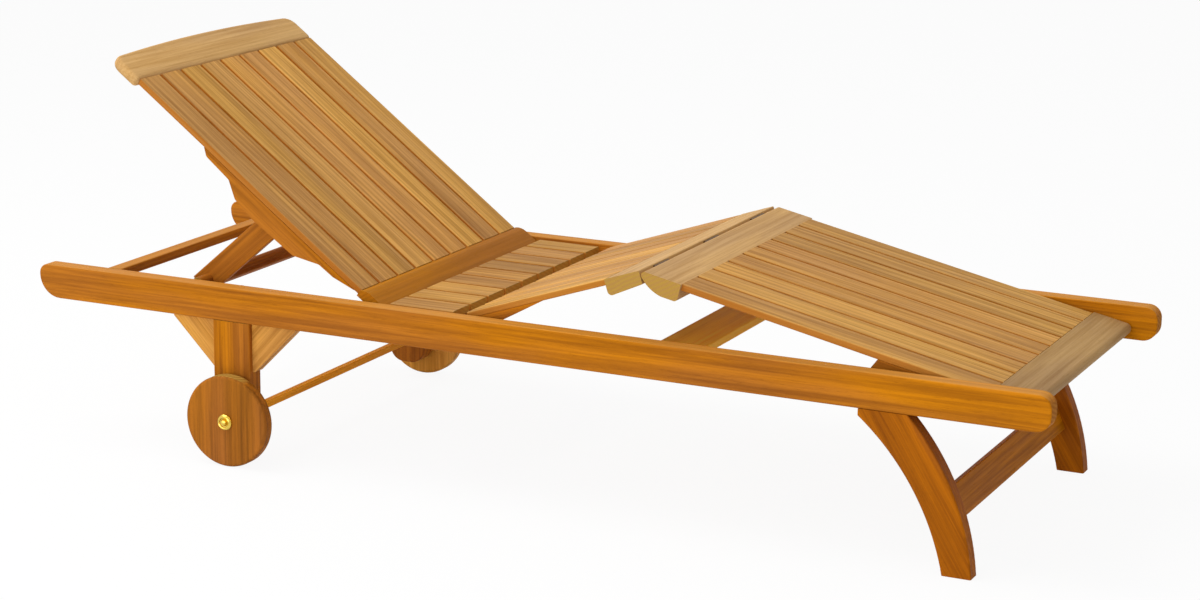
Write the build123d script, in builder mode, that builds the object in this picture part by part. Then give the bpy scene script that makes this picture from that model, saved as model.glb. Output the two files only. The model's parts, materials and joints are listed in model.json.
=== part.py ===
from build123d import *
import os
from math import asin, atan, atan2, cos, degrees, hypot, radians, sin

# Wooden sun lounger with a reclining back, a knee lift and two wheels. Millimetres.
# X runs from the head end to the foot end, Y across, Z up. The origin is on the floor,
# below the middle of the frame. The person's right side is at -Y.

# Slats: every panel has the same row of lengthwise slats.
slat_count = 9
slat_width = 60
slat_gap = 8
slat_thickness = 13
slat_edge = 2
slat_pitch = slat_width + slat_gap
deck_half = (slat_count * slat_pitch - slat_gap) / 2

# Clearances and finish.
side_gap = 14
rail_end_gap = 7
rest_gap = 0.4
side_play = 0.5
bore_play = 0.05
fit_play = 0.15
cut_over = 4
edge_round = 3

# Side rails.
frame_length = 2000
head_end = -frame_length / 2
foot_end = frame_length / 2
rail_thickness = 34
rail_depth = 64
rail_top = 333
head_top_round = 18
head_under_round = 44
foot_top_round = 24
foot_under_round = 28
rail_inner = deck_half + side_gap
rail_outer = rail_inner + rail_thickness
rail_under = rail_top - rail_depth
panel_rail_half = rail_inner - rail_end_gap

# Back: its deck turns about the bottom rail's round nose.
back_angle = 36.5
back_high_angle = 50
back_head_gap = 17.7
back_pivot_drop = 17.7
back_rail_width = 55
back_rail_rise = 8
back_rail_step = 2
back_rail_flat = 33
back_slat_length = 588
top_rail_width = 68
top_rail_bow = 11
top_rail_thickness = 22
top_rail_corner = 24
back_pivot_x = head_end + back_head_gap + top_rail_width + back_slat_length + back_rail_width
back_pivot_z = rail_top - back_pivot_drop
back_slat_end = -back_rail_width - back_slat_length
nose_radius = (slat_thickness + back_rail_rise) / 2
back_deck = nose_radius - back_rail_rise
stile_thickness = 25
stile_start = 12
stile_share = 0.675
stile_length = back_slat_length * stile_share
stile_belly = 41
stile_round = 10
stile_belly_shares = (
    (0.12, 0.27), (0.21, 0.30), (0.34, 0.90), (0.61, 1.00), (0.73, 0.86), (0.81, 0.34), (0.965, 0.27))
batten_width = 34
batten_thickness = 14
batten_inset = 42
back_lower_batten_share = 0.1616
back_upper_batten_share = 0.7585

# Prop: two struts and a foot bar that stands on the racks.
prop_angle = 40.7
prop_pivot_share = 0.381
prop_pivot_along = back_slat_length * prop_pivot_share
prop_pivot_depth = 42.3
prop_reach_share = 0.325
prop_reach = back_slat_length * prop_reach_share
prop_heel = 26
prop_width = 47
prop_thickness = 14
prop_bar_width = 15
prop_bar_thickness = 16
prop_bar_drop = 9
prop_peg_radius = 11
prop_peg_gap = 2
rack_low_angle = 23
rack_notches = 5
rack_notch_depth = 5
rack_play = 1.5
rack_clearance = 1
rack_spare = 13
rack_tooth = 9.5
rack_tooth_share = 0.3
rack_end_drop = 7
rack_base = 6

# Seat.
nose_gap = 5.8
seat_length = 130
seat_drop = 2
seat_top = rail_top - seat_drop
seat_rear = back_pivot_x + nose_radius + nose_gap
seat_front = seat_rear + seat_length
seat_under = seat_top - slat_thickness
seat_rail_width = 36
seat_rail_depth = 34
seat_rail_inset = 8

# Head, knee and foot crossbars.
head_bar_start = 135
head_bar_width = 30
head_bar_depth = 18
knee_bar_set_in = 34
knee_bar_width = 89
knee_bar_depth = 16
foot_bar_set_in = 150
foot_bar_width = 30
foot_bar_depth = 18
tenon_length = 14
tenon_shoulder = 4

# Thigh panel, hinged to the frame behind its slats.
thigh_angle = 18.8
thigh_high_angle = 23
thigh_pivot_gap = 25
thigh_pivot_drop = 21
thigh_rear = 9
thigh_length = 360
thigh_slat_thickness = 12
thigh_lug = 11
thigh_stile_bend = 70
thigh_stile_bend_drop = 10.5
thigh_stile_length = 165
thigh_batten_start = 20
thigh_rail_width = 70
thigh_rail_heel = 31.5
thigh_rail_toe = 24.5
thigh_rail_round = 8
thigh_end = thigh_rear + thigh_length
thigh_pivot_x = seat_front + thigh_pivot_gap
thigh_pivot_z = rail_top - thigh_pivot_drop
thigh_deck = seat_top - thigh_pivot_z

# Calf panel, hinged to the thigh panel at the knee.
knee_gap = 3
knee_drop = 6.5
calf_rail_width = 75.5
calf_rail_depth = 33
calf_nose_drop = 9
calf_nose_length = 44.5
calf_nose_radius = 70
calf_edge = 7
calf_foot_gap = 6.2
foot_rail_width = 75
foot_rail_depth = 22
foot_rail_round = 10
calf_length = foot_end - calf_foot_gap - foot_rail_width - knee_gap - thigh_end - thigh_pivot_x
runner_lead = 132.5
runner_rake = 17
runner_depth = 50
runner_tooth = 7
runner_first_angle = 12.5
runner_rest_depth = 39.76
calf_batten_share = 0.464
calf_foot_batten_set_in = 112

# Knee hinges.
hinge_count = 3
hinge_spread = 220
hinge_length = 60
hinge_knuckle = 3.5
hinge_pin_radius = 1.8
hinge_leaf = 27
hinge_leaf_thickness = 2.5
hinge_joint_gap = 0.3

# Pivot pins.
pin_radius = 5
pin_depth = 22
collar_radius = 9

# Wheels and their posts.
wheel_from_head = 440
wheel_x = head_end + wheel_from_head
wheel_radius = 87
wheel_width = 27
wheel_gap = 11
wheel_round = 6
axle_radius = 4.5
bush_wall = 4
spacer_radius = 12
washer_radius = 15
washer_thickness = 2
cap_radius = 14
cap_flange = 3
cap_button_radius = 6.5
cap_height = 7.5
cap_cover = 2.5
cap_round = 1
post_heel = 48
post_start = wheel_x - post_heel
post_width = 78
post_thickness = 40
post_foot = 35
post_corner = 30
gusset_size = 94
gusset_thickness = 26
gusset_set_back = 12
gusset_tip = 5
axle_bar_width = 14
axle_bar_round = 2

# Sabre legs and their stretcher.
leg_thickness = 32
leg_from_foot = 332
leg_top_start = foot_end - leg_from_foot
leg_top_width = 87
leg_sweep = 157
leg_foot_start = leg_top_start + leg_sweep
leg_foot_width = 52
leg_lip = 13
leg_rear_waist_sweep = 101
leg_rear_waist = leg_top_start + leg_rear_waist_sweep
leg_rear_waist_height = 141
leg_front_waist_sweep = 160
leg_front_waist = leg_top_start + leg_front_waist_sweep
leg_front_waist_height = 168
tenon_inset = 16
tenon_thickness = 14
tenon_height = 36
stretcher_angle = 66.6
stretcher_set_in = 46
stretcher_front = leg_rear_waist + stretcher_set_in
stretcher_top = 135
stretcher_width = 58
stretcher_thickness = 16
stretcher_tenon = 12


def tilted(x, z, angle):
    """Profile plane through (x, z): local x leans up by the angle, local y is its normal."""
    return Plane(origin=(x, 0, z), x_dir=(cos(radians(angle)), 0, sin(radians(angle))), z_dir=(0, -1, 0))


def deck_plane(x, z, angle):
    """Plane through (x, z) whose local x leans up by the angle and whose normal faces up."""
    lean = radians(angle)
    return Plane(origin=(x, 0, z), x_dir=(cos(lean), 0, sin(lean)), z_dir=(-sin(lean), 0, cos(lean)))


def turned(x, z, angle):
    """The point (x, z) turned about the origin by an angle in degrees."""
    turn = radians(angle)
    return x * cos(turn) - z * sin(turn), x * sin(turn) + z * cos(turn)


def finish(part, label):
    part.label = label
    export_step(part, f"parts/{label}.step")


def slat_row(label, plane, start, end, top, thickness):
    """A row of lengthwise slats from start to end along the plane, with their tops at one height."""
    with BuildPart(plane) as row:
        with Locations(((start + end) / 2, 0, top)):
            with GridLocations(0, slat_pitch, 1, slat_count):
                Box(end - start, slat_width, thickness, align=(Align.CENTER, Align.CENTER, Align.MAX))
        fillet(row.edges().filter_by(Axis(plane.origin, plane.x_dir)), slat_edge)
    finish(row.part, label)


def batten(label, plane, start, top, half_length):
    """A cross batten under a panel's slats."""
    with BuildPart(plane) as strip:
        with Locations((start, 0, top)):
            Box(batten_width, 2 * half_length, batten_thickness, align=(Align.MIN, Align.CENTER, Align.MAX))
        fillet(strip.faces().sort_by(Axis(plane.origin, plane.z_dir))[0].edges(), edge_round)
    finish(strip.part, label)


def pins(label, x, z, inner, collar_inner):
    """A pair of shouldered pins from the side rails into a panel's ends."""
    with BuildPart() as pair:
        for sign in sides.values():
            with BuildSketch(Plane.XZ.offset(-sign * inner)):
                with Locations((x, z)):
                    Circle(pin_radius)
            extrude(amount=-sign * (rail_inner + pin_depth - inner))
            with BuildSketch(Plane.XZ.offset(-sign * collar_inner)):
                with Locations((x, z)):
                    Circle(collar_radius)
            extrude(amount=-sign * (rail_inner - collar_inner))
    finish(pair.part, label)


os.makedirs("parts", exist_ok=True)
sides = {"right": -1, "left": 1}

# Crossbars between the side rails: start, width, top, depth.
head_bar_x = head_end + head_bar_start
knee_bar_x = thigh_pivot_x + thigh_end - knee_bar_set_in
foot_bar_x = foot_end - foot_bar_set_in
knee_bar_top = seat_top - calf_rail_depth - rest_gap
foot_bar_top = seat_top - runner_depth - rest_gap
seat_rail_start = seat_front - seat_rail_inset - seat_rail_width
crossbars = {
    "head_crossbar": (head_bar_x, head_bar_width, rail_top, head_bar_depth),
    "seat_rear_crossrail": (seat_rear + seat_rail_inset, seat_rail_width, seat_under, seat_rail_depth),
    "seat_front_crossrail": (seat_rail_start, seat_rail_width, seat_under, seat_rail_depth),
    "knee_crossbar": (knee_bar_x, knee_bar_width, knee_bar_top, knee_bar_depth),
    "foot_crossbar": (foot_bar_x, foot_bar_width, foot_bar_top, foot_bar_depth),
}
for label, (start, width, top, depth) in crossbars.items():
    middle = (start + width / 2, top - depth / 2)
    with BuildPart() as crossbar:
        with BuildSketch(Plane.XZ):
            with Locations(middle):
                Rectangle(width, depth)
        extrude(amount=rail_inner, both=True)
        fillet(crossbar.edges().filter_by(Axis.Y), edge_round)
        with BuildSketch(Plane.XZ):
            with Locations(middle):
                Rectangle(width - 2 * tenon_shoulder, depth - 2 * tenon_shoulder)
        extrude(amount=rail_inner + tenon_length - fit_play, both=True)
    finish(crossbar.part, label)

slat_row("seat_slats", Plane.XY, seat_rear, seat_front, seat_top, slat_thickness)

# The prop folds flat against the back when the back lies on the head crossbar.
back_under = back_deck - slat_thickness
head_bar_reach = back_pivot_x - head_bar_x - head_bar_width
back_low = degrees(atan((rail_top + rest_gap - back_pivot_z - back_under) / head_bar_reach))
prop_ratio = (back_angle + prop_angle) / (back_angle - back_low)
prop_pivot = (-back_rail_width - prop_pivot_along, back_deck - prop_pivot_depth)


def prop_place(recline):
    """The prop's pivot and the centre of its foot bar, with the back at this angle above level."""
    pivot = turned(*prop_pivot, -recline)
    reach = turned(-prop_reach, 0, (recline - back_low) * prop_ratio - recline)
    x = back_pivot_x + pivot[0]
    z = back_pivot_z + pivot[1]
    return (x, z), (x + reach[0], z + reach[1])


# Racks on the side rails, notched for the prop's pegs.
rack_step = (back_high_angle - rack_low_angle) / (rack_notches - 1)
notch_centres = [prop_place(rack_low_angle + rack_step * notch)[1] for notch in range(rack_notches)]
crest = [(x, z - prop_peg_radius - rack_clearance) for x, z in notch_centres]
rack_tooth_tip = (crest[0][0] - rack_tooth, crest[0][1] - rack_tooth * rack_tooth_share)
rack_start = (crest[0][0] - rack_spare, crest[0][1] - rack_end_drop)
rack_end = (crest[-1][0] + rack_spare, crest[-1][1])
rack_under = rail_under + rack_base
for side, sign in sides.items():
    with BuildPart() as rack:
        with BuildSketch(Plane.XZ.offset(-sign * rail_inner)):
            with BuildLine():
                Polyline(
                    (rack_start[0], rack_under), rack_start, rack_tooth_tip, *crest, rack_end,
                    (rack_end[0], rack_under), close=True)
            make_face()
            with Locations(*[(x, z - rack_notch_depth) for x, z in notch_centres]):
                Circle(prop_peg_radius, mode=Mode.SUBTRACT)
        extrude(amount=sign * (side_gap - rack_play))
    finish(rack.part, f"prop_rack_{side}")

# Side rails, mortised for the crossbars, the posts and the legs, and bored for the pivot pins.
post_middle = post_start + post_width / 2
leg_middle = leg_top_start + leg_top_width / 2
for side, sign in sides.items():
    post_y = sign * (rail_outer - post_thickness / 2)
    leg_y = sign * (rail_outer - leg_thickness / 2)
    with BuildPart() as rail:
        with BuildSketch(Plane.XZ.offset(-sign * (rail_inner + rail_thickness / 2))):
            with BuildLine():
                FilletPolyline(
                    (head_end, rail_under), (foot_end, rail_under),
                    (foot_end, rail_top), (head_end, rail_top),
                    radius=[head_under_round, foot_under_round, foot_top_round, head_top_round], close=True)
            make_face()
        extrude(amount=rail_thickness / 2, both=True)
        fillet(rail.faces().filter_by(Axis.Y).edges(), edge_round)
        with BuildSketch(Plane.XZ.offset(-sign * rail_inner)):
            for start, width, top, depth in crossbars.values():
                with Locations((start + width / 2, top - depth / 2)):
                    Rectangle(width - 2 * tenon_shoulder, depth - 2 * tenon_shoulder)
        extrude(amount=-sign * tenon_length, mode=Mode.SUBTRACT)
        with BuildSketch(Plane.XY.offset(rail_under)):
            with Locations((post_middle, post_y)):
                Rectangle(post_width - 2 * tenon_inset, tenon_thickness)
            with Locations((leg_middle, leg_y)):
                Rectangle(leg_top_width - 2 * tenon_inset, tenon_thickness)
        extrude(amount=tenon_height, mode=Mode.SUBTRACT)
        with BuildSketch(Plane.XZ.offset(-sign * rail_inner)):
            with Locations((back_pivot_x, back_pivot_z), (thigh_pivot_x, thigh_pivot_z)):
                Circle(pin_radius)
        extrude(amount=-sign * pin_depth, mode=Mode.SUBTRACT)
    finish(rail.part, f"side_rail_{side}")

    # The post that carries the axle, with a gusset on each side.
    with BuildPart() as post:
        with BuildSketch(Plane.XZ.offset(-post_y)):
            with BuildLine():
                FilletPolyline(
                    (post_start, rail_under), (post_start, post_foot), (post_start + post_width, post_foot),
                    (post_start + post_width, rail_under), radius=post_corner)
                Line((post_start, rail_under), (post_start + post_width, rail_under))
            make_face()
        extrude(amount=post_thickness / 2, both=True)
        fillet(post.faces().filter_by(Axis.Y).edges().filter_by_position(
            Axis.Z, post_foot, rail_under - edge_round), edge_round)
        with BuildSketch(Plane.XY.offset(rail_under)):
            with Locations((post_middle, post_y)):
                Rectangle(post_width - 2 * tenon_inset, tenon_thickness)
        extrude(amount=tenon_height - fit_play)
        with BuildSketch(Plane.XZ.offset(-post_y)):
            with Locations((wheel_x, wheel_radius)):
                Circle(axle_radius)
        extrude(amount=post_thickness, both=True, mode=Mode.SUBTRACT)
    finish(post.part, f"wheel_post_{side}")

    gusset_y = sign * (rail_outer - gusset_set_back - gusset_thickness / 2)
    gussets = {"head": (post_start, -gusset_size), "foot": (post_start + post_width, gusset_size)}
    for end, (face, reach) in gussets.items():
        tip = gusset_tip if reach > 0 else -gusset_tip
        foot = rail_under - gusset_size
        with BuildPart() as gusset:
            with BuildSketch(Plane.XZ.offset(-gusset_y)):
                with BuildLine():
                    Polyline(
                        (face, rail_under), (face, foot), (face + tip, foot),
                        (face + reach, rail_under - gusset_tip), (face + reach, rail_under), close=True)
                make_face()
            extrude(amount=gusset_thickness / 2, both=True)
        finish(gusset.part, f"gusset_{end}_{side}")

    # A sabre leg, curved towards the foot end, with a mortise for the stretcher.
    with BuildPart() as leg:
        with BuildSketch(Plane.XZ.offset(-leg_y)):
            with BuildLine():
                Line((leg_top_start, rail_under), (leg_top_start, rail_under - leg_lip))
                ThreePointArc(
                    (leg_top_start, rail_under - leg_lip), (leg_rear_waist, leg_rear_waist_height),
                    (leg_foot_start, 0))
                Line((leg_foot_start, 0), (leg_foot_start + leg_foot_width, 0))
                ThreePointArc(
                    (leg_foot_start + leg_foot_width, 0), (leg_front_waist, leg_front_waist_height),
                    (leg_top_start + leg_top_width, rail_under))
                Line((leg_top_start + leg_top_width, rail_under), (leg_top_start, rail_under))
            make_face()
        extrude(amount=leg_thickness / 2, both=True)
        fillet(leg.faces().filter_by(Axis.Y).edges().filter_by(GeomType.CIRCLE), edge_round)
        with BuildSketch(Plane.XY.offset(rail_under)):
            with Locations((leg_middle, leg_y)):
                Rectangle(leg_top_width - 2 * tenon_inset, tenon_thickness)
        extrude(amount=tenon_height - fit_play)
        with BuildSketch(tilted(stretcher_front, stretcher_top, -stretcher_angle).offset(
                -sign * (rail_outer - leg_thickness))):
            with Locations((tenon_shoulder, -tenon_shoulder)):
                Rectangle(
                    stretcher_width - 2 * tenon_shoulder, stretcher_thickness - 2 * tenon_shoulder,
                    align=(Align.MIN, Align.MAX))
        extrude(amount=-sign * stretcher_tenon, mode=Mode.SUBTRACT)
    finish(leg.part, f"sabre_leg_{side}")

stretcher_half = rail_outer - leg_thickness
with BuildPart() as stretcher:
    with BuildSketch(tilted(stretcher_front, stretcher_top, -stretcher_angle)) as board:
        Rectangle(stretcher_width, stretcher_thickness, align=(Align.MIN, Align.MAX))
    extrude(amount=stretcher_half, both=True)
    fillet(stretcher.edges().filter_by(Axis.Y), edge_round)
    with BuildSketch(tilted(stretcher_front, stretcher_top, -stretcher_angle)):
        with Locations((tenon_shoulder, -tenon_shoulder)):
            Rectangle(
                stretcher_width - 2 * tenon_shoulder, stretcher_thickness - 2 * tenon_shoulder,
                align=(Align.MIN, Align.MAX))
    extrude(amount=stretcher_half + stretcher_tenon - fit_play, both=True)
finish(stretcher.part, "leg_stretcher")

# Axle, its wooden bar between the posts, and what is fixed on it.
post_inner = rail_outer - post_thickness
wheel_inner = rail_outer + wheel_gap
wheel_outer = wheel_inner + wheel_width
washer_inner = wheel_outer + rest_gap
cap_inner = washer_inner + washer_thickness
axle_end = cap_inner + cap_height - cap_cover
with BuildPart() as axle_bar:
    with BuildSketch(Plane.XZ):
        with Locations((wheel_x, wheel_radius)):
            RectangleRounded(axle_bar_width, axle_bar_width, axle_bar_round)
            Circle(axle_radius, mode=Mode.SUBTRACT)
    extrude(amount=post_inner, both=True)
finish(axle_bar.part, "axle_bar")

with BuildPart() as axle:
    with BuildSketch(Plane.XZ):
        with Locations((wheel_x, wheel_radius)):
            Circle(axle_radius)
    extrude(amount=axle_end, both=True)
finish(axle.part, "wheel_axle")


def rings(label, radius, bore, inner, outer):
    """A pair of round rings about the axle, one on each side."""
    with BuildPart() as pair:
        for sign in sides.values():
            with BuildSketch(Plane.XZ.offset(-sign * inner)):
                with Locations((wheel_x, wheel_radius)):
                    Circle(radius)
                    Circle(bore, mode=Mode.SUBTRACT)
            extrude(amount=-sign * (outer - inner))
    finish(pair.part, label)


rings("axle_spacers", spacer_radius, axle_radius, rail_outer, wheel_inner - rest_gap)
rings("axle_washers", washer_radius, axle_radius, washer_inner, cap_inner)
with BuildPart() as cap_nuts:
    for sign in sides.values():
        for radius, height in ((cap_radius, cap_flange), (cap_button_radius, cap_height)):
            with BuildSketch(Plane.XZ.offset(-sign * cap_inner)):
                with Locations((wheel_x, wheel_radius)):
                    Circle(radius)
            extrude(amount=-sign * height)
    fillet([edge for edge in cap_nuts.edges() if abs(edge.center().Y) > cap_inner + cap_round], cap_round)
    for sign in sides.values():
        with BuildSketch(Plane.XZ.offset(-sign * cap_inner)):
            with Locations((wheel_x, wheel_radius)):
                Circle(axle_radius)
        extrude(amount=-sign * (axle_end - cap_inner), mode=Mode.SUBTRACT)
finish(cap_nuts.part, "cap_nuts")

for side, sign in sides.items():
    with BuildPart() as wheel:
        with BuildSketch(Plane.XZ.offset(-sign * wheel_inner)):
            with Locations((wheel_x, wheel_radius)):
                Circle(wheel_radius)
        extrude(amount=-sign * wheel_width)
        fillet(wheel.edges(), wheel_round)
        with BuildSketch(Plane.XZ.offset(-sign * wheel_inner)):
            with Locations((wheel_x, wheel_radius)):
                Circle(axle_radius + bore_play + bush_wall)
        extrude(amount=-sign * wheel_width, mode=Mode.SUBTRACT)
    finish(wheel.part, f"wheel_{side}")
    with BuildPart() as bush:
        with BuildSketch(Plane.XZ.offset(-sign * wheel_inner)):
            with Locations((wheel_x, wheel_radius)):
                Circle(axle_radius + bore_play + bush_wall)
                Circle(axle_radius + bore_play, mode=Mode.SUBTRACT)
        extrude(amount=-sign * wheel_width)
    finish(bush.part, f"wheel_bush_{side}")

# Back: its bottom rail ends in a round nose about the pivot.
back_profile = tilted(back_pivot_x, back_pivot_z, -back_angle)
back_plane = deck_plane(back_pivot_x, back_pivot_z, -back_angle)
pin_reach = panel_rail_half - pin_depth
with BuildPart() as bottom_rail:
    with BuildSketch(back_profile):
        with BuildLine():
            Line((-back_rail_width, -nose_radius), (0, -nose_radius))
            ThreePointArc((0, -nose_radius), (nose_radius, 0), (0, nose_radius))
            Line((0, nose_radius), (-back_rail_flat, nose_radius))
            TangentArc(
                (-back_rail_flat, nose_radius), (-back_rail_width, back_deck - back_rail_step),
                tangent=(-1, 0))
            Line((-back_rail_width, back_deck - back_rail_step), (-back_rail_width, -nose_radius))
        make_face()
    extrude(amount=panel_rail_half, both=True)
    for sign in sides.values():
        with BuildSketch(Plane.XZ.offset(-sign * pin_reach)):
            with Locations((back_pivot_x, back_pivot_z)):
                Circle(pin_radius + bore_play)
        extrude(amount=-sign * (pin_depth + cut_over), mode=Mode.SUBTRACT)
finish(bottom_rail.part, "back_bottom_rail")
pins("back_pivot_pins", back_pivot_x, back_pivot_z, pin_reach + rest_gap, panel_rail_half + side_play)

with BuildPart() as top_rail:
    with BuildSketch(back_plane.offset(back_deck)) as crest_board:
        top_edge = back_slat_end - top_rail_width
        with BuildLine():
            Polyline(
                (top_edge, -panel_rail_half), (back_slat_end, -panel_rail_half),
                (back_slat_end, panel_rail_half), (top_edge, panel_rail_half))
            ThreePointArc(
                (top_edge, panel_rail_half), (top_edge - top_rail_bow, 0), (top_edge, -panel_rail_half))
        make_face()
        fillet(crest_board.vertices().sort_by(Axis.X)[:2], top_rail_corner)
    extrude(amount=-top_rail_thickness)
    fillet(top_rail.edges().filter_by(GeomType.CIRCLE), edge_round)
finish(top_rail.part, "back_top_rail")

slat_row("back_slats", back_plane, back_slat_end, -back_rail_width, back_deck, slat_thickness)
back_battens = {
    "back_lower_batten": (back_lower_batten_share, deck_half - stile_thickness),
    "back_upper_batten": (back_upper_batten_share, deck_half - batten_inset),
}
for label, (share, half_length) in back_battens.items():
    start = -back_rail_width - back_slat_length * share - batten_width
    batten(label, back_plane, start, back_under, half_length)

# Back stiles: a belly carries the prop's pivot, and the neck above it clears the folded prop.
prop_pivot_place, prop_bar_place = prop_place(back_angle)
stile_foot = -back_rail_width - stile_start
stile_belly_points = [
    (stile_foot - along * stile_length, back_under - down * stile_belly)
    for along, down in stile_belly_shares]
stile_end = stile_foot - stile_length
stile_middle = deck_half - stile_thickness / 2
prop_outer = deck_half - stile_thickness - side_play
prop_middle = prop_outer - prop_thickness / 2
prop_inner = prop_outer - prop_thickness
for side, sign in sides.items():
    with BuildPart() as stile:
        with BuildSketch(back_profile.offset(-sign * stile_middle)):
            with BuildLine():
                FilletPolyline(
                    (stile_foot, back_under), *stile_belly_points, (stile_end, back_under),
                    radius=stile_round)
                Line((stile_end, back_under), (stile_foot, back_under))
            make_face()
        extrude(amount=stile_thickness / 2, both=True)
        with BuildSketch(Plane.XZ.offset(-sign * (deck_half - stile_thickness))):
            with Locations(prop_pivot_place):
                Circle(pin_radius)
        extrude(amount=-sign * (stile_thickness / 2), mode=Mode.SUBTRACT)
    finish(stile.part, f"back_stile_{side}")

    with BuildPart() as strut:
        with BuildSketch(tilted(*prop_pivot_place, prop_angle).offset(-sign * prop_middle)):
            Circle(prop_width / 2)
            with Locations((-(prop_reach + prop_heel) / 2, 0)):
                Rectangle(prop_reach + prop_heel, prop_width)
            Circle(pin_radius + bore_play, mode=Mode.SUBTRACT)
            with Locations((-prop_reach, 0)):
                Circle(prop_peg_radius, mode=Mode.SUBTRACT)
        extrude(amount=prop_thickness / 2, both=True)
        fillet(strut.faces().filter_by(Axis.Y).edges().filter_by(GeomType.LINE), edge_round)
    finish(strut.part, f"prop_strut_{side}")

with BuildPart() as foot_bar:
    with BuildSketch(tilted(*prop_bar_place, prop_angle)):
        with Locations((0, -prop_bar_drop)):
            RectangleRounded(prop_bar_thickness, prop_bar_width, edge_round)
    extrude(amount=prop_inner, both=True)
    with BuildSketch(tilted(*prop_bar_place, prop_angle)):
        Circle(prop_peg_radius)
    extrude(amount=rail_inner - prop_peg_gap, both=True)
finish(foot_bar.part, "prop_foot_bar")

with BuildPart() as prop_pins:
    for sign in sides.values():
        with BuildSketch(Plane.XZ.offset(-sign * (prop_inner - side_play))):
            with Locations(prop_pivot_place):
                Circle(pin_radius)
        extrude(amount=-sign * (deck_half - stile_thickness / 2 - prop_inner + side_play))
        with BuildSketch(Plane.XZ.offset(-sign * (prop_inner - side_play))):
            with Locations(prop_pivot_place):
                Circle(collar_radius)
        extrude(amount=sign * washer_thickness)
finish(prop_pins.part, "prop_pivot_pins")

# Thigh panel.
thigh_profile = tilted(thigh_pivot_x, thigh_pivot_z, thigh_angle)
thigh_plane = deck_plane(thigh_pivot_x, thigh_pivot_z, thigh_angle)
thigh_under = thigh_deck - thigh_slat_thickness
thigh_slat_end = thigh_end - thigh_rail_width
slat_row("thigh_slats", thigh_plane, thigh_rear, thigh_slat_end, thigh_deck, thigh_slat_thickness)
batten("thigh_batten", thigh_plane, thigh_batten_start, thigh_under, deck_half - stile_thickness)
for side, sign in sides.items():
    with BuildPart() as stile:
        with BuildSketch(thigh_profile.offset(-sign * stile_middle)):
            Circle(thigh_lug)
            with BuildLine():
                Polyline(
                    (0, -thigh_lug), (thigh_stile_bend, -thigh_stile_bend_drop),
                    (thigh_stile_length, thigh_under), (0, thigh_under), close=True)
            make_face()
            Circle(pin_radius + bore_play, mode=Mode.SUBTRACT)
        extrude(amount=stile_thickness / 2, both=True)
    finish(stile.part, f"thigh_stile_{side}")
pins("thigh_pivot_pins", thigh_pivot_x, thigh_pivot_z, deck_half - stile_thickness, deck_half + side_play)

# Knee: both panels turn about pins in the gap between their knee rails.
knee_offset = turned(thigh_end + knee_gap / 2, thigh_deck - knee_drop, thigh_angle)
knee_x = thigh_pivot_x + knee_offset[0]
knee_z = thigh_pivot_z + knee_offset[1]

# The calf panel slopes from the knee down to where its runners lie on the foot crossbar.
bar_from_knee = (foot_bar_x - knee_x, foot_bar_top + rest_gap - knee_z)
bar_slope = atan2(-bar_from_knee[1], bar_from_knee[0])
calf_angle = degrees(bar_slope - asin((runner_rest_depth - knee_drop) / hypot(*bar_from_knee)))
knee_groove = hinge_knuckle + rest_gap
hinge_places = [hinge_spread * (hinge - (hinge_count - 1) / 2) for hinge in range(hinge_count)]
knee_frames = {"thigh": (thigh_angle, -1), "calf": (-calf_angle, 1)}


def hinge_room(angle, away):
    """The room for the hinges' grooves and leaves in a knee rail that lies on one side of the knee."""
    with BuildPart() as room:
        for y in hinge_places:
            with BuildSketch(tilted(knee_x, knee_z, angle).offset(-y)):
                Circle(knee_groove)
            extrude(amount=hinge_length / 2 + rest_gap, both=True)
            with BuildSketch(tilted(knee_x, knee_z, angle).offset(-y)):
                with Locations((away * hinge_leaf / 2, 0)):
                    Rectangle(hinge_leaf, hinge_leaf_thickness)
            extrude(amount=hinge_length / 2, both=True)
    return room.part


hinge_rooms = {panel: hinge_room(*frame) for panel, frame in knee_frames.items()}
with BuildPart() as thigh_rail:
    with BuildSketch(thigh_profile):
        with BuildLine():
            FilletPolyline(
                (thigh_slat_end, thigh_deck), (thigh_slat_end, thigh_deck - thigh_rail_heel),
                (thigh_end, thigh_deck - thigh_rail_toe), (thigh_end, thigh_deck),
                radius=[slat_edge, thigh_rail_round, edge_round, slat_edge], close=True)
        make_face()
    extrude(amount=panel_rail_half, both=True)
    add(hinge_rooms["thigh"], mode=Mode.SUBTRACT)
finish(thigh_rail.part, "thigh_knee_rail")

calf_profile = tilted(knee_x, knee_z, -calf_angle)
calf_plane = deck_plane(knee_x, knee_z, -calf_angle)
calf_start = knee_gap / 2
calf_slat_start = calf_start + calf_rail_width
calf_slat_end = calf_start + calf_length
calf_end = calf_slat_end + foot_rail_width
calf_under = knee_drop - slat_thickness
calf_rail_under = knee_drop - calf_rail_depth
with BuildPart() as calf_rail:
    with BuildSketch(calf_profile) as calf_section:
        with BuildLine():
            Polyline(
                (calf_start, knee_drop - calf_nose_drop), (calf_start, knee_drop),
                (calf_slat_start, knee_drop), (calf_slat_start, calf_rail_under),
                (calf_start + calf_nose_length, calf_rail_under))
            RadiusArc(
                (calf_start + calf_nose_length, calf_rail_under), (calf_start, knee_drop - calf_nose_drop),
                calf_nose_radius)
        make_face()
        fillet(calf_section.vertices().group_by(Axis.Y)[-1].sort_by(Axis.X)[0], calf_edge)
        fillet(calf_section.vertices().group_by(Axis.X)[-1].sort_by(Axis.Y)[0], calf_edge)
    extrude(amount=panel_rail_half, both=True)
    add(hinge_rooms["calf"], mode=Mode.SUBTRACT)
finish(calf_rail.part, "calf_knee_rail")

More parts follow.
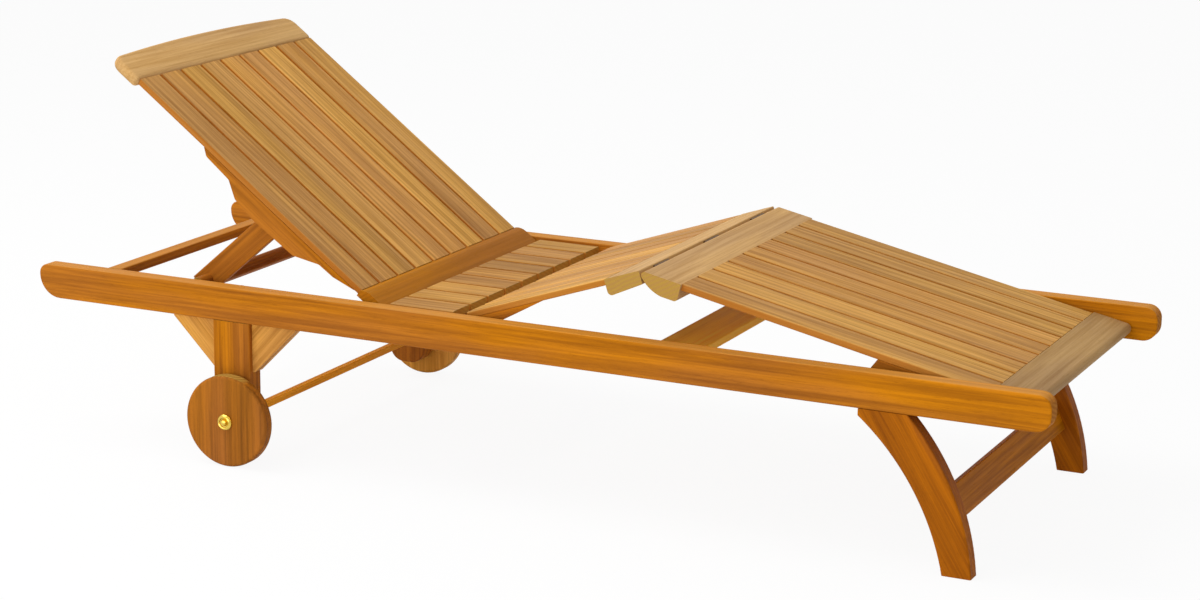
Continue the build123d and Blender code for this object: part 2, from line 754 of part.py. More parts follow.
# Hinges: the thigh's leaf carries the outer knuckles and the calf's leaf the middle one.
knuckle_half = hinge_length / 6
knuckle_start = knuckle_half + hinge_joint_gap
knuckle_spans = {
    "thigh": [(-hinge_length / 2, -knuckle_start), (knuckle_start, hinge_length / 2)],
    "calf": [(-knuckle_half, knuckle_half)],
}
for panel, (angle, away) in knee_frames.items():
    bore = hinge_pin_radius if panel == "thigh" else hinge_pin_radius + bore_play
    leaf_plane = tilted(knee_x, knee_z, angle)
    with BuildPart() as leaves:
        for y in hinge_places:
            with BuildSketch(leaf_plane.offset(-y)):
                with Locations((away * (hinge_leaf + knee_groove) / 2, 0)):
                    Rectangle(hinge_leaf - knee_groove, hinge_leaf_thickness)
            extrude(amount=hinge_length / 2, both=True)
            for low, high in knuckle_spans[panel]:
                with BuildSketch(leaf_plane.offset(-y - low)):
                    Circle(hinge_knuckle)
                    with Locations((away * knee_groove / 2, 0)):
                        Rectangle(knee_groove, hinge_leaf_thickness)
                    Circle(bore, mode=Mode.SUBTRACT)
                extrude(amount=low - high)
    finish(leaves.part, f"knee_hinge_leaves_{panel}")
with BuildPart() as hinge_pins:
    for y in hinge_places:
        with BuildSketch(Plane.XZ.offset(-y)):
            with Locations((knee_x, knee_z)):
                Circle(hinge_pin_radius)
        extrude(amount=hinge_length / 2, both=True)
finish(hinge_pins.part, "knee_hinge_pins")

# Calf panel.
slat_row("calf_slats", calf_plane, calf_slat_start, calf_slat_end, knee_drop, slat_thickness)
batten("calf_batten", calf_plane, calf_length * calf_batten_share, calf_under, deck_half - batten_inset)
batten("calf_foot_batten", calf_plane, calf_length - calf_foot_batten_set_in, calf_under,
       deck_half - stile_thickness)
with BuildPart() as foot_rail:
    with BuildSketch(calf_profile):
        with BuildLine():
            FilletPolyline(
                (calf_slat_end, knee_drop), (calf_slat_end, knee_drop - foot_rail_depth),
                (calf_end, knee_drop - foot_rail_depth), (calf_end, knee_drop),
                radius=[slat_edge, edge_round, foot_rail_round, foot_rail_round], close=True)
        make_face()
    extrude(amount=panel_rail_half, both=True)
finish(foot_rail.part, "calf_foot_rail")


def foot_bar_corner(lift):
    """The foot crossbar's upper head-side edge in the calf's own plane, with the thigh lifted this far."""
    knee = turned(thigh_end + knee_gap / 2, thigh_deck - knee_drop, lift)
    x = foot_bar_x - thigh_pivot_x - knee[0]
    z = foot_bar_top + rest_gap - thigh_pivot_z - knee[1]
    return turned(x, z, lift * calf_angle / thigh_angle)


# Runners: deep enough to lie on the foot crossbar, with a catching tooth for each lift.
runner_under = knee_drop - runner_depth
runner_start = foot_bar_x - thigh_pivot_x - thigh_end - knee_gap / 2 - runner_lead
teeth = []
for lift in (0, runner_first_angle, thigh_angle):
    x, z = foot_bar_corner(lift)
    teeth += [(x, z), (x, z + runner_tooth)]
teeth.append(foot_bar_corner(thigh_high_angle))
for side, sign in sides.items():
    with BuildPart() as runner:
        with BuildSketch(calf_profile.offset(-sign * stile_middle)):
            with BuildLine():
                Polyline(
                    (runner_start, calf_under), (runner_start - runner_rake, runner_under), *teeth,
                    (teeth[-1][0], calf_under), close=True)
            make_face()
            with Locations((calf_slat_end - fit_play, knee_drop)):
                Rectangle(foot_rail_width, foot_rail_depth + fit_play, align=(Align.MIN, Align.MAX),
                          mode=Mode.SUBTRACT)
        extrude(amount=stile_thickness / 2, both=True)
    finish(runner.part, f"runner_stile_{side}")
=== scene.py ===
"""Teak chaise lounger: finishes, metal fittings, studio and camera, laid out as an add-on."""
import json
import math
import bmesh
import bpy
from bpy.props import FloatProperty, FloatVectorProperty, IntProperty, PointerProperty
from mathutils import Euler, Matrix, Vector


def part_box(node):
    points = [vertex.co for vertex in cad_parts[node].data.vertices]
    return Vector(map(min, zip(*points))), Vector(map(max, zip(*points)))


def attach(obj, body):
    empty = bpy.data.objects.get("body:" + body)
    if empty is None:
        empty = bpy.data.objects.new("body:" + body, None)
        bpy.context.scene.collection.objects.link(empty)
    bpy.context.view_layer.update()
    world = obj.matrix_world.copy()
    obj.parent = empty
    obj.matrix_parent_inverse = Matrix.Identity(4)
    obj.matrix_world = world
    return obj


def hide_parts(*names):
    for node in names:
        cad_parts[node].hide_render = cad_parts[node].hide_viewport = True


bl_info = {
    "name": "Teak chaise lounger",
    "version": (1, 0, 0),
    "blender": (4, 5, 0),
    "location": "3D View > Sidebar > Chaise",
    "description": "Finishes a slatted teak lounger and adds its fittings and studio",
    "category": "Object",
}

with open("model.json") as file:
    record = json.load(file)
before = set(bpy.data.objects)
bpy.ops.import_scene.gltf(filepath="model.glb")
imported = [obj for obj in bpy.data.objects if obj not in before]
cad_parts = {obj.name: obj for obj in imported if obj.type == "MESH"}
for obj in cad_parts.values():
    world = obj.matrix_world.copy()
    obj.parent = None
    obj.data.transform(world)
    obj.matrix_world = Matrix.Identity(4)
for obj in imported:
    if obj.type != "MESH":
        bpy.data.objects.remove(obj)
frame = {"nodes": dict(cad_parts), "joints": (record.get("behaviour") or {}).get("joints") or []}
NODES = frame["nodes"]
JOINTS = {joint["name"]: joint for joint in frame["joints"]}
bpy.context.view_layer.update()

# Leans at rest, about the lounger's width.
BACK_TILT = math.radians(36.5)
THIGH_TILT = math.radians(-18.8)
CALF_TILT = math.radians(12.0)
PROP_TILT = math.radians(-40.7)
GUSSET_TILT = math.radians(47)
LEG_TILT = math.radians(58)

# Turns that take +X to the grain of a board across the lounger and of an upright one.
ACROSS = (0, 0, math.radians(90))
UPRIGHT = (0, math.radians(-90), 0)

# Each panel's own frame: where it hangs, and its lean. There x runs along the slats and z out of them.
SEAT_TOP = 0.331
PANELS = {
    "back": (Vector(JOINTS["back_recline"]["pos_m"]), BACK_TILT),
    "seat": (Vector((0, 0, SEAT_TOP)), 0.0),
    "thigh": (Vector(JOINTS["knee_lift"]["pos_m"]), THIGH_TILT),
    "calf": (Vector(JOINTS["calf_fold"]["pos_m"]), CALF_TILT)}

# The top rail in the back's frame: the edge at the slats, then its sizes.
TOP_RAIL_SEAM = -0.643
TOP_RAIL_WIDTH = 0.068
TOP_RAIL_HALF = 0.309
TOP_RAIL_BOW = 0.011
TOP_RAIL_FACE = 0.0025
TOP_RAIL_THICKNESS = 0.022
TOP_RAIL_CORNER = 0.024

# Layers of noise in the teak: stretch along, across and through the board, detail, roughness, distortion.
TEAK_LAYERS = {
    "cloud": ((1.6, 9, 9), 3, 0.55, 0.0),
    "figure": ((2.2, 70, 70), 5, 0.6, 0.35),
    "streak": ((3.8, 210, 210), 5, 0.62, 0.0),
    "fibre": ((22, 900, 900), 3, 0.6, 0.0),
    "pore": ((55, 1400, 1400), 2, 0.5, 0.0)}
# How far each layer takes the light wood to the dark one, and what is left of their sum.
FIGURE_SHARE, STREAK_SHARE, RING_SHARE, GRAIN_SHARE = 0.46, 0.42, 0.42, 0.82
# The slats' sides get painted light: painted shade on one side and a painted golden highlight on the other.
# These are how far below the face it starts, the height over which it fades in, and how much of it there is.
SIDE_LIGHT_START, SIDE_LIGHT_FADE, SIDE_LIGHT_SHARE = 0.0004, 0.0022, 0.66
OILED_SPECULAR = 0.08

# The caps stand this far off the washers, the screws this far from a batten's ends, and their heads narrow.
CAP_GAP = 0.0001
SCREW_MARGIN = 0.006
SCREW_TAPER = 0.72

# The soft square lamps: place and side. Each one's power is the studio's property of the same name.
LAMPS = {"Key": ((-2.6, -4.6, 1.9), 3.0), "Top": ((-2.0, -1.0, 4.2), 3.0), "Front": ((0.4, -5.0, 1.3), 2.0)}
LAMP_AIM = Vector((0, 0, 0.3))
FLOOR_HALF = 30
FLOOR_DROP = 0.0005
# How much of the floor is plain white where it is seen; the rest keeps the lounger's shadow.
FLOOR_WHITE = 0.92


def colour(name, text, default):
    return FloatVectorProperty(name=name, description=text, subtype="COLOR", size=3, min=0, max=1,
                               default=default)


def length(name, text, default):
    return FloatProperty(name=name, description=text, default=default, min=0, unit="LENGTH")


def power(name, text, default):
    return FloatProperty(name=name, description=text, default=default, min=0)


def angle(name, text, degrees):
    return FloatProperty(name=name, description=text, subtype="ANGLE", default=math.radians(degrees))


class ChaiseFinish(bpy.types.PropertyGroup):
    rail: colour("Rails", "Oiled teak of the rails, crossbars, posts and stiles", (0.57, 0.188, 0.005))
    rail_dark: colour("Rail grain", "Darker growth lines of the rails", (0.25, 0.070, 0.002))
    # Partly painted shade: the side rails' ends are end grain, made darker for the shade on the ends that face
    # away from the light.
    shaded_rail_end: colour("Rail ends", "Brown of the side rails' ends", (0.42, 0.16, 0.02))
    leg: colour("Legs", "Deeper brown of the sabre legs", (0.45, 0.124, 0.001))
    leg_dark: colour("Leg grain", "Growth lines of the legs", (0.20, 0.047, 0.001))
    # The pale teak is the gussets' own lighter wood. On the left wheel it is painted light, and on upward
    # faces it is painted light from above.
    pale: colour("Pale teak", "Teak of the gussets and left wheel, and of bleached faces", (0.80, 0.39, 0.075))
    pale_dark: colour("Pale teak grain", "Growth lines of the pale teak", (0.43, 0.165, 0.020))
    # Painted light: the knee crossbar's teak is made much brighter, in place of light it doesn't get in the
    # shade under the panels.
    knee_bar_lit: colour("Knee crossbar", "Bright orange teak of the knee crossbar", (1.0, 0.60, 0.09))
    knee_bar_lit_grain: colour("Knee crossbar grain", "Growth lines of the knee crossbar", (0.86, 0.43, 0.045))
    # Painted light: the axle bar's teak is as bright an orange as it can be, in place of light where it lies
    # in shade.
    axle: colour("Axle bar", "Orange teak of the bar between the wheels", (1.0, 0.43, 0.03))
    slat: colour("Slats", "Tan of the slats' faces", (0.68, 0.355, 0.092))
    slat_dark: colour("Slat grain", "Brown streaks of the slats", (0.31, 0.130, 0.021))
    # Painted shade: the deep orange that the slats' right sides and undersides get, in place of the shade in
    # the gaps.
    flank: colour("Slat sides", "Deep orange of the slats' right sides and undersides", (0.44, 0.128, 0.002))
    # Painted highlight: the golden orange on the slats' left sides, in place of the light caught by their
    # rounded edges.
    seam: colour("Slat edges", "Golden orange of the slats' left sides", (0.98, 0.52, 0.07))
    board: colour("Panel boards", "Tan of the panels' cross boards", (0.60, 0.360, 0.145))
    board_dark: colour("Board grain", "Growth lines of the cross boards", (0.41, 0.215, 0.066))
    heart: colour("Heartwood", "Brown of the back's bottom rail", (0.44, 0.152, 0.004))
    end_grain: colour("End grain", "Greenish yellow of sawn ends", (0.46, 0.27, 0.05))
    wheel: colour("Wheel", "Brown teak of the right wheel", (0.43, 0.140, 0.013))
    brass: colour("Brass", "Polished brass of caps, bushes and screws", (0.78, 0.55, 0.10))
    steel: colour("Steel", "Brushed steel of axle and pins", (0.52, 0.52, 0.52))
    bronze: colour("Hinges", "Dark aged bronze of the knee hinges", (0.16, 0.085, 0.035))
    grain_relief: length("Grain relief", "Depth of the open grain", 0.00035)


class ChaiseSizes(bpy.types.PropertyGroup):
    cap_radius: length("Cap radius", "Radius of the wheels' brass caps", 0.0145)
    cap_height: length("Cap height", "How far the caps' lips stand out", 0.0045)
    screw_radius: length("Screw radius", "Radius of the screw heads under the slats", 0.0038)
    screw_height: length("Screw height", "How far the screw heads stand out", 0.0008)
    soft_edge: length("Soft edge", "Rounding of the top rail's edges", 0.009)
    soft_segments: IntProperty(name="Edge segments", description="Steps in a rounded edge", default=4, min=1)
    slat_pitch: length("Slat pitch", "Distance from slat to slat", 0.068)
    slat_count: IntProperty(name="Slats", description="Slats in each panel", default=9, min=1)


class ChaiseStudio(bpy.types.PropertyGroup):
    place: FloatVectorProperty(name="Camera place", description="Where the camera stands", unit="LENGTH",
                               subtype="TRANSLATION", default=(2.19423, -4.55813, 1.54753))
    yaw: angle("Yaw", "Turn of the view from straight across", 25.47197)
    pitch: angle("Pitch", "How far the camera looks down", 13.83518)
    roll: angle("Roll", "Turn about the line of sight", 0.67008)
    lens: FloatProperty(name="Lens", description="Focal length in millimetres on a 36 mm sensor",
                        default=83.2928)
    floor: colour("Floor", "Pale floor", (0.88, 0.88, 0.88))
    key: power("Key light", "Power of the low soft lamp in front", 31.0)
    top: power("Top light", "Power of the soft lamp overhead", 119.0)
    front: power("Front light", "Power of the soft lamp beside the camera", 55.0)
    fill: power("Sky light", "Strength of the even light", 0.58)


# Node helpers.

def tree_of(owner):
    """The emptied node tree of a material or world."""
    owner.use_nodes = True
    owner.node_tree.nodes.clear()
    return owner.node_tree


def add_node(tree, kind, inputs=None, **settings):
    node = tree.nodes.new(kind)
    for name, value in settings.items():
        setattr(node, name, value)
    for name, value in (inputs or {}).items():
        if isinstance(value, bpy.types.NodeSocket):
            tree.links.new(value, node.inputs[name])
        else:
            node.inputs[name].default_value = value
    return node


def math_node(tree, operation, first, second=0.0, clamp=False):
    return add_node(tree, "ShaderNodeMath", {0: first, 1: second}, operation=operation,
                    use_clamp=clamp).outputs[0]


def plus(tree, first, second, clamp=False):
    return math_node(tree, "ADD", first, second, clamp)


def times(tree, first, second, clamp=False):
    return math_node(tree, "MULTIPLY", first, second, clamp)


def vector_math(tree, operation, first, second):
    node = add_node(tree, "ShaderNodeVectorMath", {0: first, 1: second}, operation=operation)
    return node.outputs["Value" if operation == "DOT_PRODUCT" else "Vector"]


def mix_colour(tree, factor, first, second, blend="MIX"):
    return add_node(tree, "ShaderNodeMix", {0: factor, 6: first, 7: second}, data_type="RGBA",
                    blend_type=blend).outputs[2]


def shift_colour(tree, base, hue, value, saturation=1.0):
    return add_node(tree, "ShaderNodeHueSaturation", {
        "Hue": hue, "Saturation": saturation, "Value": value, "Color": base}).outputs[0]


def smooth(tree, value, low, high):
    return add_node(tree, "ShaderNodeMapRange", {"Value": value, "From Min": low, "From Max": high},
                    interpolation_type="SMOOTHSTEP").outputs[0]


def noise(tree, place, scale, detail, roughness=0.5, distortion=0.0):
    return add_node(tree, "ShaderNodeTexNoise", {
        "Vector": place, "Scale": scale, "Detail": detail, "Roughness": roughness,
        "Distortion": distortion}).outputs["Fac"]


def backdrop_seen(tree):
    """One for what the camera sees, straight or by gloss or glass, and nought for light on the object."""
    path = add_node(tree, "ShaderNodeLightPath").outputs
    mirrored = plus(tree, path["Is Glossy Ray"], path["Is Transmission Ray"], clamp=True)
    return plus(tree, path["Is Camera Ray"], mirrored, clamp=True)


def group_sockets(group, inputs, outputs):
    for name, kind in inputs:
        group.interface.new_socket(name, in_out="INPUT", socket_type=kind)
    for name, kind in outputs:
        group.interface.new_socket(name, in_out="OUTPUT", socket_type=kind)
    return group.nodes.new("NodeGroupInput"), group.nodes.new("NodeGroupOutput")


def rgba(value):
    return (*value, 1.0)


def teak_group():
    """Teak in a board's own coordinates: x along the grain, y across, z through the thickness."""
    if "Teak grain" in bpy.data.node_groups:
        return bpy.data.node_groups["Teak grain"]
    group = bpy.data.node_groups.new("Teak grain", "ShaderNodeTree")
    source, sink = group_sockets(
        group,
        (("Place", "NodeSocketVector"), ("Seed", "NodeSocketFloat"), ("Light", "NodeSocketColor"),
         ("Dark", "NodeSocketColor"), ("End", "NodeSocketColor"), ("Along", "NodeSocketVector"),
         ("Figure", "NodeSocketFloat")),
        (("Color", "NodeSocketColor"), ("Roughness", "NodeSocketFloat"), ("Height", "NodeSocketFloat")))
    out = source.outputs
    drift = add_node(group, "ShaderNodeCombineXYZ", {
        0: times(group, out["Seed"], 3.17), 1: times(group, out["Seed"], 0.71),
        2: times(group, out["Seed"], 1.37)}).outputs[0]
    place = vector_math(group, "ADD", out["Place"], drift)
    layers = {name: noise(group, vector_math(group, "MULTIPLY", place, stretch), 1.0, *settings)
              for name, (stretch, *settings) in TEAK_LAYERS.items()}
    cloud = smooth(group, layers["cloud"], 0.36, 0.64)
    bands = smooth(group, layers["figure"], 0.37, 0.64)
    streaks = smooth(group, layers["streak"], 0.38, 0.62)
    dust = times(group, smooth(group, layers["fibre"], 0.56, 0.74), 0.16)
    pits = smooth(group, layers["pore"], 0.63, 0.72)
    rings = add_node(group, "ShaderNodeTexWave", {
        "Vector": vector_math(group, "MULTIPLY", place, (0.55, 8.5, 8.5)), "Scale": 2.2, "Distortion": 7.0,
        "Detail": 2.5, "Detail Scale": 0.9, "Detail Roughness": 0.55},
        wave_type="BANDS", bands_direction="Y").outputs["Fac"]

    # The long faces: light wood darkened by the grain, then dust and pores.
    blend = plus(group, times(group, bands, FIGURE_SHARE), times(group, streaks, STREAK_SHARE))
    blend = plus(group, blend, times(group, times(group, rings, out["Figure"]), RING_SHARE))
    blend = times(group, blend, GRAIN_SHARE, clamp=True)
    base = mix_colour(group, blend, out["Light"], out["Dark"])
    warm = shift_colour(group, base, plus(group, 0.4985, times(group, cloud, 0.004)),
                        plus(group, 0.89, times(group, cloud, 0.22)),
                        plus(group, 0.98, times(group, cloud, 0.03)))
    lines = mix_colour(group, dust, warm, (0.30, 0.25, 0.22, 1), "MULTIPLY")
    lines = mix_colour(group, times(group, pits, 0.30), lines, (0.28, 0.2, 0.15, 1), "MULTIPLY")

    # The sawn ends: growth rings round the board's length.
    normal = add_node(group, "ShaderNodeTexCoord").outputs["Normal"]
    facing = vector_math(group, "DOT_PRODUCT", normal, out["Along"])
    is_end = smooth(group, math_node(group, "ABSOLUTE", facing), 0.86, 0.95)
    growth = add_node(group, "ShaderNodeTexWave", {
        "Vector": vector_math(group, "MULTIPLY", place, (0, 1, 1)), "Scale": 42.0, "Distortion": 3.0,
        "Detail": 2.0, "Detail Scale": 0.6}, wave_type="RINGS", rings_direction="X").outputs["Fac"]
    sawn = mix_colour(group, times(group, growth, 0.6), out["End"], out["Dark"])
    sawn = mix_colour(group, times(group, pits, 0.5), sawn, (0.2, 0.13, 0.06, 1), "MULTIPLY")
    group.links.new(mix_colour(group, is_end, lines, sawn), sink.inputs["Color"])

    sheen = plus(group, 0.50, times(group, layers["streak"], 0.16))
    sheen = plus(group, sheen, times(group, is_end, 0.2))
    group.links.new(plus(group, sheen, times(group, pits, 0.12)), sink.inputs["Roughness"])
    ridge = math_node(group, "SUBTRACT", times(group, layers["streak"], 0.7), times(group, dust, 1.2))
    group.links.new(math_node(group, "SUBTRACT", ridge, times(group, pits, 0.45)), sink.inputs["Height"])
    return group


def teak(name, seed, light, dark, turn=(0, 0, 0), tone=1.0, figure=0.5, slats=False, flank_from=None,
         end=None, sawn=True, bleach=0.0):
    """A teak finish for one board or one row of slats.

    turn takes +X to the grain's direction, tone scales the colours and figure the growth rings. slats
    gives each slat of the row its own tone and grain, and the face given after it (a point, its normal and
    a height) is where painted light starts on their sides below it: painted shade on one side and a
    painted golden highlight on the other. end is the colour of the sawn ends, which sawn=False leaves
    out, and the last argument is how much painted light from above pales the faces that look up.
    """
    finish = bpy.context.scene.chaise_finish
    sizes = bpy.context.scene.chaise_sizes
    material = bpy.data.materials.new(name)
    tree = tree_of(material)
    here = add_node(tree, "ShaderNodeTexCoord").outputs
    lean = Euler(turn).to_matrix()
    place = add_node(tree, "ShaderNodeMapping", {
        "Vector": here["Object"], "Rotation": lean.inverted().to_euler()}, vector_type="POINT").outputs[0]
    light, dark = rgba(c * tone for c in light), rgba(c * tone for c in dark)
    if slats:
        across = add_node(tree, "ShaderNodeSeparateXYZ", {0: here["Object"]}).outputs[1]
        step = times(tree, across, 1 / sizes.slat_pitch)
        index = math_node(tree, "FLOOR", plus(tree, step, sizes.slat_count / 2))
        seed = plus(tree, times(tree, index, 1.61), seed)
        chance = add_node(tree, "ShaderNodeTexWhiteNoise", {"W": seed}, noise_dimensions="1D").outputs
        value = plus(tree, 0.86, times(tree, chance["Value"], 0.25))
        second_chance = add_node(tree, "ShaderNodeSeparateColor", {0: chance["Color"]}).outputs[1]
        hue = plus(tree, 0.4965, times(tree, second_chance, 0.006))
        light, dark = shift_colour(tree, light, hue, value), shift_colour(tree, dark, hue, value)
    grain = add_node(tree, "ShaderNodeGroup", {
        "Place": place, "Seed": seed, "Light": light, "Dark": dark, "End": rgba(end or finish.end_grain),
        "Along": lean @ Vector((1, 0, 0)) if sawn else (0, 0, 0), "Figure": figure}, node_tree=teak_group())
    surface = grain.outputs["Color"]
    # Painted light on the slats' sides below the face: painted shade on one side and a painted golden
    # highlight on the other.
    if flank_from:
        origin, normal, depth = flank_from
        offset = vector_math(tree, "SUBTRACT", here["Object"], tuple(origin))
        height = vector_math(tree, "DOT_PRODUCT", offset, tuple(normal))
        under = smooth(tree, height, depth, depth - SIDE_LIGHT_FADE)
        leftward = add_node(tree, "ShaderNodeSeparateXYZ", {0: here["Normal"]}).outputs[1]
        side = mix_colour(tree, smooth(tree, leftward, -0.1, 0.3), rgba(finish.flank), rgba(finish.seam))
        surface = mix_colour(tree, under, surface, mix_colour(tree, SIDE_LIGHT_SHARE, surface, side))
    # Painted light from above: the faces that look up are paled toward the pale teak.
    if bleach:
        upward = add_node(tree, "ShaderNodeSeparateXYZ", {0: here["Normal"]}).outputs[2]
        top_light_mask = times(tree, smooth(tree, upward, 0.5, 0.95), bleach)
        surface = mix_colour(tree, top_light_mask, surface, rgba(finish.pale))
    bump = add_node(tree, "ShaderNodeBump", {
        "Height": grain.outputs["Height"], "Distance": finish.grain_relief, "Strength": 0.7})
    shader = add_node(tree, "ShaderNodeBsdfPrincipled", {
        "Base Color": surface, "Roughness": grain.outputs["Roughness"], "Normal": bump.outputs[0],
        "Specular IOR Level": OILED_SPECULAR})
    add_node(tree, "ShaderNodeOutputMaterial", {"Surface": shader.outputs[0]})
    return material


def metal(name, base, roughness, scratch):
    """Turned metal with fine scratches and a little tarnish."""
    material = bpy.data.materials.new(name)
    tree = tree_of(material)
    coords = add_node(tree, "ShaderNodeTexCoord").outputs["Object"]
    fine = noise(tree, vector_math(tree, "MULTIPLY", coords, (900, 60, 900)), 1.0, 3.0)
    dull = smooth(tree, noise(tree, coords, 160.0, 4.0), 0.45, 0.75)
    tint = mix_colour(tree, times(tree, dull, 0.45), rgba(base), rgba(c * 0.55 for c in base))
    rough = plus(tree, roughness, times(tree, dull, 0.18))
    rough = plus(tree, rough, times(tree, fine, 0.10))
    bump = add_node(tree, "ShaderNodeBump", {"Height": fine, "Distance": scratch, "Strength": 0.5})
    shader = add_node(tree, "ShaderNodeBsdfPrincipled", {
        "Base Color": tint, "Roughness": rough, "Normal": bump.outputs[0], "Metallic": 1.0})
    add_node(tree, "ShaderNodeOutputMaterial", {"Surface": shader.outputs[0]})
    return material


# Piece helpers.

def dress(names, material):
    """Give CAD nodes a finish, and leave their meshes as they are."""
    for name in names:
        materials = NODES[name].data.materials
        materials.clear()
        materials.append(material)


def dress_teak(name, seed, light, dark, *looks, **more):
    """Give one CAD node a teak of its own."""
    dress([name], teak(f"Teak {name}", seed, light, dark, *looks, **more))


def keep(name, shape, body, material, shade=True):
    """Link a finished bmesh as a piece that rides on a body."""
    bmesh.ops.remove_doubles(shape, verts=shape.verts, dist=1e-6)
    bmesh.ops.recalc_face_normals(shape, faces=shape.faces)
    mesh = bpy.data.meshes.new(name)
    shape.to_mesh(mesh)
    shape.free()
    mesh.materials.append(material)
    if shade:
        mesh.polygons.foreach_set("use_smooth", [True] * len(mesh.polygons))
        mesh.set_sharp_from_angle(angle=math.radians(32))
    piece = bpy.data.objects.new(name, mesh)
    bpy.context.scene.collection.objects.link(piece)
    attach(piece, body)
    return piece


def hang(shape, panel):
    """Take a bmesh from a panel's own frame to its place at rest."""
    origin, tilt = PANELS[panel]
    bmesh.ops.rotate(shape, cent=(0, 0, 0), matrix=Matrix.Rotation(tilt, 3, "Y"), verts=shape.verts)
    bmesh.ops.translate(shape, vec=origin, verts=shape.verts)


class CHAISE_OT_rails(bpy.types.Operator):
    """Finish the side rails, crossbars, axle bar, leg stretcher and prop racks"""
    bl_idname = "chaise.rails"
    bl_label = "Rails and crossbars"

    def execute(self, context):
        finish = context.scene.chaise_finish
        rail = (finish.rail, finish.rail_dark)
        # The side rails get painted light from above on their tops, and ends of a darker brown that is partly
        # painted shade.
        for seed, name in enumerate(("side_rail_right", "side_rail_left")):
            dress_teak(name, 3.1 + seed * 5, *rail, figure=0.55, end=finish.shaded_rail_end, bleach=0.36)
        # The knee crossbar and the axle bar get brighter teak as painted light, in place of light that their
        # shaded places don't get.
        bars = {
            "head_crossbar": rail, "seat_rear_crossrail": rail, "seat_front_crossrail": rail,
            "foot_crossbar": rail, "knee_crossbar": (finish.knee_bar_lit, finish.knee_bar_lit_grain),
            "axle_bar": (finish.axle, finish.rail), "leg_stretcher": rail}
        for seed, (name, wood) in enumerate(bars.items()):
            # The head crossbar gets a darker tone as painted shade on its face away from the light, and
            # painted light from above on its top.
            tone, bleach = (0.84, 0.34) if name == "head_crossbar" else (1.0, 0.0)
            dress_teak(name, 11.3 + seed * 4, *wood, ACROSS, tone, 0.5, bleach=bleach)
        for seed, name in enumerate(("prop_rack_right", "prop_rack_left")):
            dress_teak(name, 57.3 + seed * 4, *rail, tone=0.9)
        return {"FINISHED"}


class CHAISE_OT_supports(bpy.types.Operator):
    """Finish the wheel posts, their gussets and the sabre legs"""
    bl_idname = "chaise.supports"
    bl_label = "Posts and legs"

    def execute(self, context):
        finish = context.scene.chaise_finish
        pale = (finish.pale, finish.pale_dark)
        supports = {
            "wheel_post": (UPRIGHT, (finish.rail, finish.rail_dark)),
            "gusset_head": ((0, GUSSET_TILT, 0), pale),
            "gusset_foot": ((0, -GUSSET_TILT, 0), pale),
            "sabre_leg": ((0, LEG_TILT, 0), (finish.leg, finish.leg_dark))}
        seed = 81.0
        for stem, (turn, wood) in supports.items():
            for side in ("right", "left"):
                seed += 3.7
                dress_teak(f"{stem}_{side}", seed, *wood, turn, figure=0.9)
        return {"FINISHED"}


class CHAISE_OT_slats(bpy.types.Operator):
    """Finish the four rows of slats, each slat with its own tone and grain"""
    bl_idname = "chaise.slats"
    bl_label = "Slats"

    def execute(self, context):
        finish = context.scene.chaise_finish
        # Each row's face above its panel's frame, and its tone. The seat's lower tone is painted shade from
        # the back and thigh panels.
        rows = {"back": (0.0025, 0.98), "seat": (0.0, 0.87), "thigh": (0.019, 1.08), "calf": (0.0065, 0.96)}
        for seed, (panel, (face, tone)) in enumerate(rows.items()):
            origin, tilt = PANELS[panel]
            normal = Euler((0, tilt, 0)).to_matrix() @ Vector((0, 0, 1))
            dress_teak(f"{panel}_slats", 120.5 + seed * 31, finish.slat, finish.slat_dark, (0, tilt, 0), tone,
                       figure=0.45, slats=True, flank_from=(origin, normal, face - SIDE_LIGHT_START))
        return {"FINISHED"}


class CHAISE_OT_panel_boards(bpy.types.Operator):
    """Finish the panels' cross boards, battens and stiles, and the prop"""
    bl_idname = "chaise.panel_boards"
    bl_label = "Panel boards"

    def execute(self, context):
        finish = context.scene.chaise_finish
        rail = (finish.rail, finish.rail_dark)
        boards = {"thigh_knee_rail": 1.0, "calf_knee_rail": 1.06, "calf_foot_rail": 0.79}
        for seed, (name, tone) in enumerate(boards.items()):
            dress_teak(name, 201 + seed * 7, finish.board, finish.board_dark, ACROSS, tone, 0.35)
        dress_teak("back_bottom_rail", 231, finish.heart, [c * 0.74 for c in finish.heart], ACROSS,
                   figure=0.3, end=finish.heart)
        crosspieces = ("back_lower_batten", "back_upper_batten", "thigh_batten", "calf_batten",
                       "calf_foot_batten", "prop_foot_bar")
        for seed, name in enumerate(crosspieces):
            dress_teak(name, 251 + seed * 5, *rail, ACROSS, 0.9)
        stiles = {"back_stile": BACK_TILT, "thigh_stile": THIGH_TILT, "runner_stile": CALF_TILT,
                  "prop_strut": PROP_TILT}
        for seed, (stem, tilt) in enumerate(stiles.items()):
            for side in ("right", "left"):
                dress_teak(f"{stem}_{side}", 301 + seed * 9 + len(side), *rail, (0, tilt, 0), 0.93)
        return {"FINISHED"}


